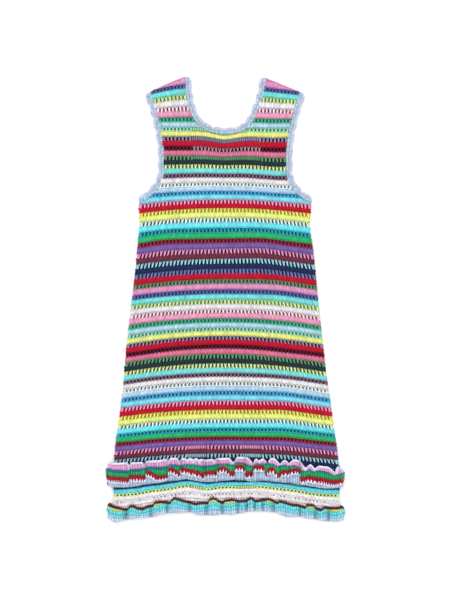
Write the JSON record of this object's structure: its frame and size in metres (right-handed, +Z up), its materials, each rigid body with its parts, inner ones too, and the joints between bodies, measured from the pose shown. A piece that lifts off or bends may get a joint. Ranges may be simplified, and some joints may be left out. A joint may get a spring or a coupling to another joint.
{
  "type": "crochet knit mini dress laid flat",
  "caption": "Sleeveless scoop-neck crochet mini dress in open and closed striped rows, with scalloped edgings, a gathered ruffle and a hem ruffle, lying flat.",
  "frame": {"origin": "centre of the flat-laid dress's outline, on the surface that it lies on", "axes": "+Y towards the neck, +X to the right of the front as seen from above, +Z up out of the front"},
  "size_m": [0.479, 0.8895, 0.0205],
  "materials": {
    "body_yarn": "matte crocheted cotton yarn, striped",
    "edging_yarn": "matte crocheted cotton yarn, pale blue",
    "ruffle_yarn": "matte crocheted cotton yarn, striped"
  },
  "bodies": {
    "root": {"back_panel": "body_yarn", "front_panel": "body_yarn", "neck_edging_back": "edging_yarn", "neck_edging_front": "edging_yarn", "armhole_edging_back_left": "edging_yarn", "armhole_edging_back_right": "edging_yarn", "armhole_edging_front_left": "edging_yarn", "armhole_edging_front_right": "edging_yarn", "upper_ruffle_back": "ruffle_yarn", "upper_ruffle_front": "ruffle_yarn", "hem_ruffle_back": "ruffle_yarn", "hem_ruffle_front": "ruffle_yarn"}
  },
  "joints": []
}
